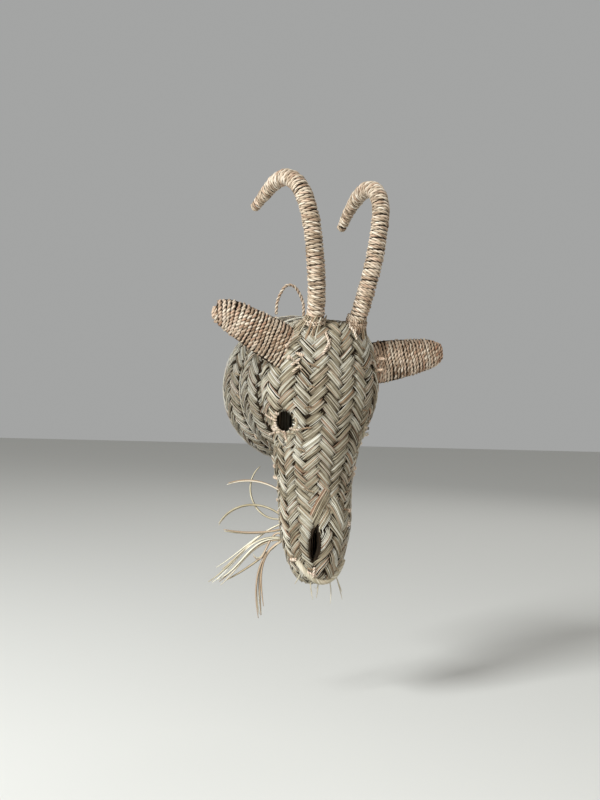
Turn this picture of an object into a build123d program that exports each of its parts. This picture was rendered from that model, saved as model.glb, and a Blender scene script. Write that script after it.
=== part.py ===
"""A hollow goat's head of plaited esparto grass that hangs on a wall by a twisted cord loop.

Frame: the origin is the centre of the neck's back rim, which lies against the wall (Y = 0).
+Z is up, the face looks along -Y, and "left" is the -X side. Every length is in millimetres.
"""
from build123d import *
import math
import os

os.makedirs("parts", exist_ok=True)

# ---------------------------------------------------------------- driving dimensions
BAND = 5.0  # thickness of a plaited band
# The head's outer skin, from crown to chin: height, half width, half depth, centre's y
HEAD = [
    (70, 26, 28, -88),
    (62, 43, 39, -86),
    (46, 57, 47, -83),
    (22, 64.5, 53, -80),
    (0, 66, 55, -79),
    (-25, 61, 52, -79),
    (-50, 50, 47, -80),
    (-75, 44, 42, -80),
    (-113, 39, 35, -83),
    (-145, 37.5, 34, -87),
    (-172, 32.5, 31, -89),
    (-194, 25, 24, -92),
    (-207, 12, 12, -94),
]
# Half width of the nose band at each height
NOSE_EDGE = [(80, 22), (50, 27), (0, 31), (-60, 32), (-100, 24), (-137, 17), (-190, 13), (-217, 6)]
NOSE_BACK = -101  # the nose band ends here, on the crown and under the chin
JAW_EDGE = [(-68, -55), (-68, -140), (-84, -197), (-95, -217)]  # y, z of the jaw band's front edge
CROWN_BOTTOM = 57

NECK_Z = -1.0  # height of the neck's axis, which runs along Y
COLLAR_SPLIT = -40.0  # where the two collars meet
COLLAR_FRONT = -82.0
REAR_RADII = (75.5, 81.0, 78.0)  # outer radius at the front edge, the crest and the back edge
FRONT_RADII = (72.0, 77.5, 74.5)
BACK_RADIUS = 65.0  # the head's closed back stands this far out inside the collars

EYE = (48.3, -37.0)  # x and z of an eye hole's centre
EYE_SIZE = (19.5, 20.0)  # width and height of the hole
EYE_TURN = 54.0  # how far an eye looks round from straight ahead, in degrees
EYE_RIM = 2.0
NOSTRIL_Z, NOSTRIL_X, NOSTRIL_LONG, NOSTRIL_WIDE = -164.0, 14.0, 38.0, 9.0

# A horn's centre line on the +X side, from inside the crown to the tip
HORN = [
    (23, -103, 50),
    (26, -121, 84),
    (34, -130, 133),
    (40, -129, 170),
    (46, -116, 202),
    (50, -86, 220),
    (53, -50, 215),
]
HORN_TIP = {"left": (58, -13, 193), "right": (52, -13, 180)}
HORN_RADIUS, HORN_TIP_RADIUS = 9.0, 5.2
HORN_WRAP = 2.0
TIE_RADIUS = 11.0
TIE_RISE = 29.0  # how far along the horn's path its lashing reaches

# An ear: the root and the tip of its centre line, on the +X side
EAR_ROOT = {"left": (38, -103, 33), "right": (38, -103, 26)}
EAR_TIP = {"left": (130, -100, 77), "right": (143, -100, 47)}
# Place along the ear, width and thickness
EAR_SECTIONS = [
    (0.0, 47, 12), (0.2, 49, 13), (0.5, 45, 13), (0.75, 39, 12), (0.9, 31, 10), (1.0, 18, 6)
]
EAR_WRAP = 2.0

THREAD = 0.9  # radius of the sewing cord
STITCH = 8.0  # length of one stitch across a seam

LOOP_DIAMETER = 3.0
LOOP_Y = -8.0
LOOP_FOOT_Z = 82.0  # the hinge line of the loop
LOOP_FEET = {"left": -21.5, "right": 12.5}  # x of each foot
# The loop's centre line from its left foot to its right foot
LOOP_ROUTE = [
    (LOOP_FEET["left"], LOOP_Y, LOOP_FOOT_Z),
    (-22, LOOP_Y, 94),
    (-17.5, LOOP_Y, 106),
    (-11, LOOP_Y, 116.5),
    (-0.5, LOOP_Y, 116.5),
    (8, LOOP_Y, 106),
    (13, LOOP_Y, 94),
    (LOOP_FEET["right"], LOOP_Y, LOOP_FOOT_Z),
]
ANCHOR_GAP = 1.8  # free height under the loop's feet, so that they can turn

BEARD_RADIUS = 1.1
KNOT_RADIUS = 4.5
# Beard strands: height of the root on the left jaw seam, and the tip
BEARD = [
    (-114, (-91, -62, -101)),
    (-119, (-104, -66, -143)),
    (-124, (-93, -56, -150)),
    (-129, (-96, -62, -190)),
    (-134, (-102, -68, -209)),
    (-139, (-91, -58, -212)),
    (-144, (-66, -64, -230)),
    (-149, (-43, -62, -246)),
    (-154, (-38, -54, -232)),
]
# Loose ends under the chin: x of the root, and the tip
WHISKERS = [
    (-17, (-30, -100, -208)),
    (-9, (-14, -108, -220)),
    (0, (-3, -104, -222)),
    (9, (16, -106, -226)),
    (17, (27, -102, -220)),
]

NODES = {}  # node name: shape
SIDES = {"left": -1, "right": 1}


# ---------------------------------------------------------------- helpers
def keep(name, shape):
    """File a shape under its node's name."""
    NODES[name] = Compound(list(shape.solids()))
    return NODES[name]


def rod(start, end, radius):
    """A straight round rod between two points."""
    run = Vector(*end) - Vector(*start)
    place = Plane(origin=start, z_dir=run)
    return place * Cylinder(radius, run.length, align=(Align.CENTER, Align.CENTER, Align.MIN))


def strand(start, end, bulge, radius):
    """A round strand along the arc from start to end, through their middle moved by bulge."""
    middle = (Vector(*start) + Vector(*end)) / 2 + Vector(*bulge)
    arc = ThreePointArc(start, middle, end)
    section = Plane(origin=arc @ 0, z_dir=arc % 0) * Circle(radius)
    return sweep(section, path=arc)


def square_to(direction, tangent):
    """The part of a direction that is square to a tangent."""
    return (direction - tangent * direction.dot(tangent)).normalized()


def mirrored(points, side):
    """Points of the +X side, on the wanted side."""
    return [(SIDES[side] * x, y, z) for x, y, z in points]


# ---------------------------------------------------------------- head shell
def head_solid(inset):
    """The head's outer skin moved inwards by inset, as a solid."""
    sections = []
    for z, half_width, half_depth, y in HEAD:
        if z == HEAD[0][0]:
            z -= inset
        if z == HEAD[-1][0]:
            z += inset
        sections.append(Pos(0, y, z) * Ellipse(half_width - inset, half_depth - inset))
    return loft(sections)


def collar_profile(radii, front, back, depth):
    """A collar's cross-section above the neck's axis, or down to the axis where depth is None."""
    middle = (front + back) / 2

    def at(y, radius):
        return Vector(0, y, NECK_Z + radius)

    outer = ThreePointArc(at(front, radii[0]), at(middle, radii[1]), at(back, radii[2]))
    if depth is None:
        inner = Line(at(back, 0), at(front, 0))
        low = (0, 0)
    else:
        inner = ThreePointArc(
            at(back, radii[2] - depth), at(middle, radii[1] - depth), at(front, radii[0] - depth)
        )
        low = (radii[0] - depth, radii[2] - depth)
    ends = [Line(at(back, radii[2]), at(back, low[1])), Line(at(front, low[0]), at(front, radii[0]))]
    return Face(Wire([outer, ends[0], inner, ends[1]]))


def collar(radii, front, back, depth):
    return revolve(collar_profile(radii, front, back, depth), Axis((0, 0, NECK_Z), (0, 1, 0)), 360)


def surface_point(skin, x, z):
    """The foremost point where a line along Y meets the head's skin."""
    hits = skin.find_intersection_points(Axis((x, -300, z), (0, 1, 0)))
    return min((hit[0] for hit in hits), key=lambda p: p.Y)


def nose_region():
    """The space in front of the head that the nose band takes up."""
    outline = [(x, z) for z, x in NOSE_EDGE] + [(-x, z) for z, x in reversed(NOSE_EDGE)]
    face = Plane.XZ * make_face(Polyline(*outline, close=True))
    return extrude(Pos(0, NOSE_BACK, 0) * face, amount=-NOSE_BACK + 60)


def jaw_region():
    """The space behind the muzzle that the jaw band takes up."""
    outline = JAW_EDGE + [(0, JAW_EDGE[-1][1]), (0, JAW_EDGE[0][1])]
    face = Plane.YZ * make_face(Polyline(*outline, close=True))
    return extrude(Pos(-80, 0, 0) * face, amount=160)


def eye_plane(skin, side):
    """A plane on the head's skin at an eye, facing outwards."""
    point = surface_point(skin, SIDES[side] * EYE[0], EYE[1])
    turn = math.radians(EYE_TURN)
    outward = Vector(SIDES[side] * math.sin(turn), -math.cos(turn), 0)
    return Plane(origin=point, x_dir=Vector(0, 0, 1).cross(outward), z_dir=outward)


def eye_column(skin, side, grow, low, high):
    """A solid elliptical column through an eye, from low to high along its axis."""
    ellipse = Ellipse(EYE_SIZE[0] / 2 + grow, EYE_SIZE[1] / 2 + grow)
    plane = eye_plane(skin, side).offset(low)
    return extrude(plane * ellipse, amount=high - low)


def nostril(side):
    """The almond-shaped column that opens a nostril slit beside the nose band."""
    top = (0, NOSTRIL_LONG / 2)
    bottom = (0, -NOSTRIL_LONG / 2)
    outer = ThreePointArc(top, (NOSTRIL_WIDE / 2, 0), bottom)
    inner = ThreePointArc(bottom, (-NOSTRIL_WIDE / 2, 0), top)
    almond = Plane.XZ * Face(Wire([outer, inner]))
    return extrude(Pos(SIDES[side] * NOSTRIL_X, -100, NOSTRIL_Z) * almond, amount=60, dir=(0, -1, 0))


def make_shell(skin):
    """The plaited bands of the head and the two collars of the neck."""
    rear = collar(REAR_RADII, COLLAR_SPLIT, 0, BAND + 1)
    front = collar(FRONT_RADII, COLLAR_FRONT, COLLAR_SPLIT, BAND + 1)
    neck_room = collar(REAR_RADII, COLLAR_SPLIT, 0, None) + collar(
        FRONT_RADII, COLLAR_FRONT, COLLAR_SPLIT, None
    )
    hollow_head = skin - head_solid(BAND)
    collar_bore = Rot(90, 0, 0) * Cylinder(BACK_RADIUS, -COLLAR_FRONT)
    back = hollow_head & (Pos(0, COLLAR_FRONT / 2, NECK_Z) * collar_bore)
    shell = hollow_head - neck_room
    for side in SIDES:
        shell -= eye_column(skin, side, EYE_RIM, -12, 12)
        shell -= nostril(side)
    nose_room, jaw_room = nose_region(), jaw_region()
    crown_room = Pos(0, NOSE_BACK + 50, CROWN_BOTTOM + 20) * Box(160, 100, 40)
    nose = shell & nose_room
    jaw = (shell - nose_room) & jaw_room
    crown = (shell - nose_room) & crown_room
    cheeks = shell - nose_room - jaw_room - crown_room
    half = Box(200, 400, 600)
    keep("nose_band", nose)
    keep("jaw_band", jaw)
    keep("crown_band", crown)
    keep("back_band", back)
    keep("cheek_band_left", cheeks & (Pos(-100, 0, 0) * half))
    keep("cheek_band_right", cheeks & (Pos(100, 0, 0) * half))
    keep("neck_collar_rear", rear)
    keep("neck_collar_front", front)


def make_eye_rims(skin):
    for side in SIDES:
        ring = eye_column(skin, side, EYE_RIM, -5, 1.5) - eye_column(skin, side, 0, -13, 13)
        keep(f"eye_rim_{side}", ring)


# ---------------------------------------------------------------- horns
def tapered_rod(path, radius_at, count=13, end=1.0):
    """A round rod along a path, whose radius at each place is radius_at(place)."""
    sections = []
    for i in range(count):
        place = end * i / (count - 1)
        tangent = path % place
        plane = Plane(origin=path @ place, x_dir=square_to(Vector(1, 0, 0), tangent), z_dir=tangent)
        sections.append(plane * Circle(radius_at(place)))
    return loft(sections)


def horn_radius(place):
    """The wrapped horn's radius."""
    return HORN_RADIUS + (HORN_TIP_RADIUS - HORN_RADIUS) * place**6


def horn_path(side):
    return Spline(*mirrored(HORN + [HORN_TIP[side]], side))


def make_horns(skin):
    for side in SIDES:
        path = horn_path(side)
        outside = tapered_rod(path, horn_radius)
        bundle = tapered_rod(path, lambda place: horn_radius(place) - HORN_WRAP, end=0.98)
        keep(f"horn_bundle_{side}", bundle - skin)
        keep(f"horn_wrap_{side}", outside - skin - bundle)
        tie = tapered_rod(path, lambda place: TIE_RADIUS, count=4, end=TIE_RISE / path.length)
        keep(f"horn_root_tie_{side}", tie - skin - outside)
        print(side, "horn", round(path.length), "mm long")


# ---------------------------------------------------------------- ears
def ear_solid(side, inset):
    """A flat tongue from root to tip, moved inwards by inset."""
    root, tip = [Vector(*p) for p in mirrored([EAR_ROOT[side], EAR_TIP[side]], side)]
    run = tip - root
    along = run.normalized()
    sections = []
    for place, width, thickness in EAR_SECTIONS:
        bow = Vector(0, -3 * math.sin(math.pi * place), 0)
        end_cut = inset if place == 1.0 else 0
        plane = Plane(
            origin=root + run * place + bow - along * end_cut,
            x_dir=square_to(Vector(0, 1, 0), along),
            z_dir=along,
        )
        sections.append(plane * Ellipse(thickness / 2 - inset, width / 2 - inset))
    return loft(sections)


def make_ears(skin):
    for side in SIDES:
        outside, core = ear_solid(side, 0), ear_solid(side, EAR_WRAP)
        keep(f"ear_core_{side}", core - skin)
        keep(f"ear_wrap_{side}", outside - skin - core)
        stitches = []
        for height in (-9, 3):
            x, z = SIDES[side] * 42, EAR_ROOT[side][2] + height
            on_head = surface_point(skin, SIDES[side] * 39, z - 3)
            start = on_head + Vector(0, -0.6, 0)
            stitches.append(rod(start, (x + SIDES[side] * 14, on_head.Y - 1.2, z + 5), THREAD))
        keep(f"ear_stitches_{side}", Compound([s - skin - outside for s in stitches]))


# ---------------------------------------------------------------- sewing
def make_seams(skin):
    """Stitches that cross each seam, standing proud of the plait."""
    nose_heights = [44, 22, 0, -22, -44, -66, -88, -108, -126, -190]
    jaw_heights = [-86, -98, -110, -122, -134, -160]
    for side in SIDES:
        nose = []
        for z in nose_heights:
            edge = nose_edge_at(z)
            offsets = (-STITCH / 2, STITCH / 2)
            ends = [surface_point(skin, SIDES[side] * (edge + d), z) for d in offsets]
            nose.append(stitch(ends))
        keep(f"nose_seam_stitches_{side}", Compound([s - skin for s in nose]))
        jaw = []
        for z in jaw_heights:
            ends = [side_point(skin, side, jaw_edge_at(z) + d, z) for d in (-STITCH / 2, STITCH / 2)]
            jaw.append(stitch(ends))
        keep(f"jaw_seam_stitches_{side}", Compound([s - skin for s in jaw]))


def stitch(ends):
    """A short cord laid over a seam between two points of the skin."""
    middle = (ends[0] + ends[1]) / 2
    outward = Vector(middle.X, middle.Y + 80, 0).normalized() * 0.7
    return rod(ends[0] + outward, ends[1] + outward, THREAD)


def nose_edge_at(z):
    return between(NOSE_EDGE, z)


def jaw_edge_at(z):
    return between([(height, y) for y, height in JAW_EDGE], z)


def between(pairs, z):
    """The value at a height, from (height, value) pairs that run downwards."""
    for (high, a), (low, b) in zip(pairs, pairs[1:]):
        if low <= z <= high:
            return a + (b - a) * (high - z) / (high - low)
    raise ValueError(z)


def side_point(skin, side, y, z):
    """The point where a line along X meets the head's skin on one side."""
    hits = skin.find_intersection_points(Axis((0, y, z), (SIDES[side], 0, 0)))
    return max((hit[0] for hit in hits), key=lambda p: SIDES[side] * p.X)


def make_collar_stitches():
    """Stitches round the neck, over the crease between the two collars."""
    count, radius = 20, REAR_RADII[0] + 0.3
    stitches = []
    for i in range(count):
        angle = 2 * math.pi * (i + 0.5) / count
        x, z = radius * math.cos(angle), NECK_Z + radius * math.sin(angle)
        stitches.append(rod((x, COLLAR_SPLIT - 4, z), (x, COLLAR_SPLIT + 4, z), THREAD))
    clear_of = [NODES[name] for name in ("neck_collar_rear", "neck_collar_front", "jaw_band")]
    keep("collar_seam_stitches", Compound([one.cut(*clear_of) for one in stitches]))


# ---------------------------------------------------------------- hanging loop
def corner_radii(points):
    """The largest arc that fits at each inner point of a route."""
    radii = []
    for a, b, c in zip(points, points[1:], points[2:]):
        before, after = Vector(*b) - Vector(*a), Vector(*c) - Vector(*b)
        half_turn = math.radians(before.get_angle(after)) / 2
        radii.append(0.45 * min(before.length, after.length) / math.tan(half_turn))
    return radii


def make_loop():
    radii = corner_radii(LOOP_ROUTE)
    path = FilletPolyline(*LOOP_ROUTE, radius=radii)
    section = Plane(origin=path @ 0, z_dir=path % 0) * Circle(LOOP_DIAMETER / 2)
    cord = keep("hanging_loop", sweep(section, path=path))
    expected = math.pi * (LOOP_DIAMETER / 2) ** 2 * path.length
    print("loop arcs", [round(r, 1) for r in radii], "length", round(path.length, 1))
    print("loop volume", round(cord.volume, 1), "expected", round(expected, 1))
    anchors = []
    for side in SIDES:
        top = (LOOP_FEET[side], LOOP_Y, LOOP_FOOT_Z - ANCHOR_GAP)
        foot = (LOOP_FEET[side], LOOP_Y, LOOP_FOOT_Z - 12)
        anchors.append(rod(foot, top, LOOP_DIAMETER) - NODES["neck_collar_rear"])
    for side, anchor in zip(SIDES, anchors):
        keep(f"loop_anchor_{side}", anchor.solids().sort_by(Axis.Z)[-1])


# ---------------------------------------------------------------- loose grass
def make_beard(skin):
    strands = []
    for z, tip in BEARD:
        root = side_point(skin, "left", jaw_edge_at(z) + 6, z) + Vector(-0.8, 0.6, 0)
        strands.append(strand(root, tip, (-6, 3, 9), BEARD_RADIUS) - skin)
    keep("beard_strands", Compound(strands))
    seat = side_point(skin, "left", jaw_edge_at(-147) + 6, -147)
    knot = rod(seat - Vector(0, 0, KNOT_RADIUS), seat + Vector(0, 0, KNOT_RADIUS), KNOT_RADIUS) - skin
    for one in strands:
        knot -= one
    keep("beard_knot", knot)
    whiskers = []
    for x, tip in WHISKERS:
        root = Vector(x, -98, -191)
        whiskers.append(strand(root, tip, (0, -3, 0), BEARD_RADIUS * 0.8) - skin)
    keep("chin_whiskers", Compound(whiskers))


# ---------------------------------------------------------------- whole part
def main():
    skin = head_solid(0)
    make_shell(skin)
    make_eye_rims(skin)
    make_horns(skin)
    make_ears(skin)
    make_seams(skin)
    make_collar_stitches()
    make_loop()
    make_beard(skin)
    for name, shape in NODES.items():
        export_step(shape, f"parts/{name}.step")


main()
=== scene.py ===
"""The looks of a plaited grass goat's head, which hangs on a wall by a twisted cord loop.

The frame's shells stay, painted near black as the shade in the gaps of the plait. The plait's
blades, the wound cords, the sewing and the loose grass are laid over them here. Lengths are in
metres, angles in radians.
"""
import math

import bpy
import numpy as np
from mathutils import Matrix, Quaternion, Vector
from mathutils.bvhtree import BVHTree


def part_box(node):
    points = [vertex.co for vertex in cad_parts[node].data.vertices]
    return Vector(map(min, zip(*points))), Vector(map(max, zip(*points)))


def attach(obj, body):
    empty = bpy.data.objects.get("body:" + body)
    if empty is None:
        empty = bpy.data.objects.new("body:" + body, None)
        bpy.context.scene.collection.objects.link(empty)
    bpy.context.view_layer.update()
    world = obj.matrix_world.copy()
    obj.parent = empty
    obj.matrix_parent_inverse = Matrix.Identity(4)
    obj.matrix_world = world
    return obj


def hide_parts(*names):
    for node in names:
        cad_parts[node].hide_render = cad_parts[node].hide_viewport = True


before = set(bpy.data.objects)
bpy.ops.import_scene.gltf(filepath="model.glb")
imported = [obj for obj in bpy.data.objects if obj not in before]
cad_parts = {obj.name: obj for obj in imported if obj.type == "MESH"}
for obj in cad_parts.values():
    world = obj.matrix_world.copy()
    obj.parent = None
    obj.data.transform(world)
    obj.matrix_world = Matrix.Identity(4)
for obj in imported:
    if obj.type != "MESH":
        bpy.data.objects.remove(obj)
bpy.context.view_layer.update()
BOX = {name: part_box(name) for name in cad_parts}
rng = np.random.default_rng(41)

SIDES = {"left": -1, "right": 1}
BLADE = np.array([(-1, 0), (0, 1), (1, 0), (0, -0.5)])  # a flat blade's section
ROUND = np.array([(math.cos(a), math.sin(a)) for a in np.radians(range(0, 360, 60))])


# ---- materials
def node(tree, kind, inputs=None, **settings):
    """A new shader node, with values or links for its inputs."""
    made = tree.nodes.new(kind)
    for name, value in settings.items():
        setattr(made, name, value)
    for name, value in (inputs or {}).items():
        if isinstance(value, bpy.types.NodeSocket):
            tree.links.new(value, made.inputs[name])
        else:
            made.inputs[name].default_value = value
    return made


def mix(tree, factor, a, b, blend="MIX"):
    """The colour of a mixed with b, by factor."""
    inputs = {0: factor, 6: a, 7: b}
    return node(tree, "ShaderNodeMix", inputs, data_type="RGBA", blend_type=blend).outputs[2]


def maths(tree, operation, a, b=0.0, c=0.0):
    """The outcome of a sum on up to three values or links."""
    return node(tree, "ShaderNodeMath", {0: a, 1: b, 2: c}, operation=operation).outputs[0]


def linear(*rgb):
    """A display colour, 0 to 255, as the shader wants it."""
    return tuple(((c / 255 + 0.055) / 1.055) ** 2.4 for c in rgb) + (1.0,)


def new_material(name):
    """A material, its node tree and its shader."""
    material = bpy.data.materials.new(name)
    material.use_nodes = True
    return material, material.node_tree, material.node_tree.nodes["Principled BSDF"]


def finish_shader(tree, shader, colour, rough, height, strength, distance, specular):
    """Link what a shader shows, with a bump of the height."""
    tree.links.new(colour, shader.inputs["Base Color"])
    tree.links.new(rough, shader.inputs["Roughness"])
    settings = {"Strength": strength, "Distance": distance, "Height": height}
    bump = node(tree, "ShaderNodeBump", settings)
    tree.links.new(bump.outputs[0], shader.inputs["Normal"])
    shader.inputs["Specular IOR Level"].default_value = specular


FIBRES = (1.7, 110, 40)  # how fine the fibres are across a blade, along it and from one to the next
STREAKS, BLOTCHES = 0.75, 0.4  # how much fibres and wide blotches change a blade's shade
BLOTCH_SCALE = 38.0
WARMTH = 0.75  # how far a warm blade goes to the warm colour
PAINTED_EDGE_SHADE = 0.8  # painted shade: how much darker a blade's edges are than its middle, for the grooves between blades
PAINTED_SHADE_COLOUR = (44, 31, 17)  # painted shade: what the colour is multiplied by where a blade tucks in under its neighbours, and at its edges
ROUGHNESS = 0.77  # of a dark fibre; a pale one is smoother


def grass(name, shades, warm):
    """Dried grass: shades from dark to pale, warm blades here and there, and painted shade at blade
    edges and where the painted light channel is low.
    """
    material, tree, shader = new_material(name)
    tint = node(tree, "ShaderNodeAttribute", attribute_name="tint")
    parts = node(tree, "ShaderNodeSeparateXYZ", {0: tint.outputs["Vector"]}).outputs
    grain = node(tree, "ShaderNodeAttribute", attribute_name="grain").outputs["Vector"]
    place = node(tree, "ShaderNodeTexCoord").outputs["Object"]
    stretched = node(tree, "ShaderNodeVectorMath", {0: grain, 1: FIBRES}, operation="MULTIPLY")
    across = node(tree, "ShaderNodeSeparateXYZ", {0: grain}).outputs[0]
    from_middle = maths(tree, "ABSOLUTE", across)
    settings = {"Vector": stretched.outputs[0], "Scale": 1.0, "Detail": 3.0}
    fibre = node(tree, "ShaderNodeTexNoise", settings)
    settings = {"Vector": place, "Scale": BLOTCH_SCALE, "Detail": 2.0}
    blotch = node(tree, "ShaderNodeTexNoise", settings)
    level = maths(tree, "MULTIPLY_ADD", fibre.outputs[0], STREAKS, parts[0])
    level = maths(tree, "MULTIPLY_ADD", blotch.outputs[0], BLOTCHES, level)
    level = maths(tree, "SUBTRACT", level, 0.5 * (STREAKS + BLOTCHES))
    ramp = node(tree, "ShaderNodeValToRGB", {0: level})
    stops = ramp.color_ramp.elements
    while len(stops) < len(shades):
        stops.new(0.5)
    for index, shade in enumerate(shades):
        stops[index].position = index / (len(shades) - 1)
        stops[index].color = linear(*shade)
    colour = mix(tree, maths(tree, "MULTIPLY", parts[1], WARMTH), ramp.outputs[0], linear(*warm))
    # painted shade: a dark copy of the colour, for where blades lie in shade
    shaded_colour = mix(tree, 0.85, colour, linear(*PAINTED_SHADE_COLOUR), "MULTIPLY")
    # painted shade at a blade's edges, for the grooves between blades
    edge = maths(tree, "POWER", from_middle, 2.6)
    shade = maths(tree, "MULTIPLY_ADD", edge, -PAINTED_EDGE_SHADE, 1.0)
    # painted shade: the colour goes to its dark copy by the painted light channel and at blade
    # edges
    colour = mix(tree, maths(tree, "MULTIPLY", parts[2], shade), shaded_colour, colour)
    rough = maths(tree, "MULTIPLY_ADD", fibre.outputs[0], -0.3, ROUGHNESS)
    finish_shader(tree, shader, colour, rough, fibre.outputs[0], 0.5, 0.0003, 0.35)
    shader.inputs["Sheen Weight"].default_value = 0.08
    return material


MATTING_FIBRES = (900, 700, 60)


def matting(name, dark, pale):
    """The layers of grass under the plait, painted near black as the shade in its gaps: coarse
    crossed fibres.
    """
    material, tree, shader = new_material(name)
    place = node(tree, "ShaderNodeTexCoord").outputs["Object"]
    layers = []
    for turn in (0.8, -0.8):
        settings = {"Vector": place, "Rotation": (0.3, turn, 0.2), "Scale": MATTING_FIBRES}
        turned = node(tree, "ShaderNodeMapping", settings).outputs[0]
        fibre = node(tree, "ShaderNodeTexNoise", {"Vector": turned, "Scale": 1.0})
        layers.append(fibre.outputs[0])
    height = maths(tree, "MAXIMUM", *layers)
    ramp = node(tree, "ShaderNodeValToRGB", {0: height})
    for stop, position, shade in zip(ramp.color_ramp.elements, (0.45, 0.8), (dark, pale)):
        stop.position = position
        stop.color = linear(*shade)
    rough = maths(tree, "MULTIPLY_ADD", height, -0.3, 1.0)
    finish_shader(tree, shader, ramp.outputs[0], rough, height, 0.8, 0.0006, 0.15)
    return material


PLAIT = grass(
    "plaited_grass",
    [(58, 43, 25), (125, 109, 83), (173, 162, 136), (219, 213, 195), (238, 235, 223)],
    (190, 146, 114),
)
WOUND = grass(
    "wound_cord",
    [(86, 66, 46), (150, 128, 104), (198, 180, 156), (228, 216, 198), (241, 234, 222)],
    (200, 160, 134),
)
EAR_CORD = grass(
    "ear_cord",
    [(70, 49, 33), (136, 108, 83), (188, 163, 137), (224, 208, 186), (240, 230, 215)],
    (186, 134, 106),
)
SEWING = grass(
    "sewing_cord",
    [(110, 86, 62), (178, 152, 124), (214, 192, 166), (234, 218, 198), (242, 232, 216)],
    (206, 160, 134),
)
LOOSE = grass(
    "loose_grass",
    [(108, 90, 62), (162, 148, 116), (206, 196, 168), (228, 222, 200), (238, 234, 218)],
    (168, 128, 92),
)
# painted shade: the under layers are dark brown to near black, standing for the shade seen in the
# plait's gaps
UNDER_SHADE = matting("under_layers_painted_shade", (20, 14, 8), (60, 46, 29))


# ---- strips of grass
def unit(vectors):
    """Vectors made one long."""
    return vectors / np.maximum(np.linalg.norm(vectors, axis=-1, keepdims=True), 1e-12)


def new_object(name, data):
    """An object of the data, in the scene."""
    made = bpy.data.objects.new(name, data)
    bpy.context.scene.collection.objects.link(made)
    return made


class Grass:
    """Collects strips of grass, and makes one mesh of them."""

    def __init__(self):
        self.points, self.quads, self.tints, self.grains = [], [], [], []
        self.count = 0

    def lay(self, line, up, width, height, tone, warm=0.0, painted_light=1.0, section=BLADE):
        """Sweep a section along each of n lines of k points. width and height are half sizes."""
        n, k, _ = line.shape
        m = len(section)
        steps = np.gradient(line, axis=1)
        side = unit(np.cross(unit(steps), up))
        up = unit(np.cross(side, steps))
        width = np.broadcast_to(width, (n, k))[..., None]
        height = np.broadcast_to(height, (n, k))[..., None]
        across, rise = width * section[:, 0], height * section[:, 1]
        points = line[:, :, None] + side[:, :, None] * across[..., None]
        points += up[:, :, None] * rise[..., None]
        ring = np.arange(n * k * m).reshape(n, k, m) + self.count
        following = np.roll(ring, -1, axis=2)
        corners = (ring[:, :-1], following[:, :-1], following[:, 1:], ring[:, 1:])
        self.quads.append(np.stack(corners, axis=-1).reshape(-1, 4))
        for i in range(1, m - 1, 2):
            cap = (0, i, i + 1, i + 2)
            self.quads += [ring[:, 0, cap[::-1]], ring[:, -1, cap]]
        travelled = np.cumsum(np.linalg.norm(steps, axis=-1), axis=1)
        grain = np.zeros((n, k, m, 3))
        grain[..., 0] = section[:, 0]
        grain[..., 1] = travelled[:, :, None]
        grain[..., 2] = rng.random(n)[:, None, None]
        # tone and warmth are the grass's own colour; the third channel is painted light, 1 in full
        # light and lower where shade is painted
        tint = np.zeros((n, k, m, 3))
        for channel, value in enumerate((tone, warm, painted_light)):
            value = np.asarray(value, float)
            value = value[:, None] if value.ndim == 1 else value
            tint[..., channel] = np.broadcast_to(value, (n, k))[..., None]
        self.points.append(points.reshape(-1, 3))
        self.grains.append(grain.reshape(-1, 3))
        self.tints.append(tint.reshape(-1, 3))
        self.count += n * k * m

    def make(self, name, material, slot, body="root", replaces=()):
        """One object of everything laid so far, which rides on a body."""
        points, quads = np.concatenate(self.points), np.concatenate(self.quads)
        mesh = bpy.data.meshes.new(name)
        mesh.vertices.add(len(points))
        mesh.vertices.foreach_set("co", points.astype(np.float32).ravel())
        mesh.loops.add(quads.size)
        mesh.loops.foreach_set("vertex_index", quads.astype(np.int32).ravel())
        mesh.polygons.add(len(quads))
        mesh.polygons.foreach_set("loop_start", np.arange(0, quads.size, 4, dtype=np.int32))
        mesh.polygons.foreach_set("use_smooth", np.ones(len(quads), bool))
        for label, values in (("tint", self.tints), ("grain", self.grains)):
            layer = mesh.attributes.new(label, "FLOAT_VECTOR", "POINT")
            layer.data.foreach_set("vector", np.concatenate(values).astype(np.float32).ravel())
        mesh.update(calc_edges=True)
        mesh.validate()
        piece = new_object(name, mesh)
        mesh.materials.append(material)
        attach(piece, body)
        if replaces:
            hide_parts(*replaces)
        return piece


# ---- reading the frame
def tree_of(*names):
    """A search tree of CAD nodes' surfaces."""
    points, faces = [], []
    for name in names:
        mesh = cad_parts[name].data
        base = len(points)
        points += [vertex.co.copy() for vertex in mesh.vertices]
        faces += [[base + i for i in face.vertices] for face in mesh.polygons]
    return BVHTree.FromPolygons(points, faces)


def points_of(name):
    """The points of a CAD node."""
    return np.array([vertex.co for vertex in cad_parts[name].data.vertices])


def first_hit(tree, origin, direction):
    """Where a ray first meets a tree, or None."""
    hit = tree.ray_cast(Vector(origin), Vector(direction))[0]
    return None if hit is None else np.array(hit)


def last_reach(tree, origin, direction, limit):
    """How far out along a ray the tree's last surface within a limit lies, or 0."""
    origin, direction = Vector(origin), Vector(direction).normalized()
    reach = 0.0
    while True:
        distance = tree.ray_cast(origin + direction * (reach + 1e-5), direction)[3]
        if distance is None or reach + distance > limit:
            return reach
        reach += distance + 1e-5


def islands(name):
    """The points of each loose piece of a CAD node."""
    points = points_of(name)
    keys = {}
    group = np.zeros(len(points), int)
    for i, key in enumerate(map(tuple, np.round(points, 6))):
        group[i] = keys.setdefault(key, len(keys))
    parent = list(range(len(keys)))

    def root(i):
        while parent[i] != i:
            parent[i] = parent[parent[i]]
            i = parent[i]
        return i

    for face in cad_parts[name].data.polygons:
        corners = [group[i] for i in face.vertices]
        for corner in corners[1:]:
            parent[root(corner)] = root(corners[0])
    roots = np.array([root(g) for g in group])
    return [points[roots == r] for r in dict.fromkeys(roots)]


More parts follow.
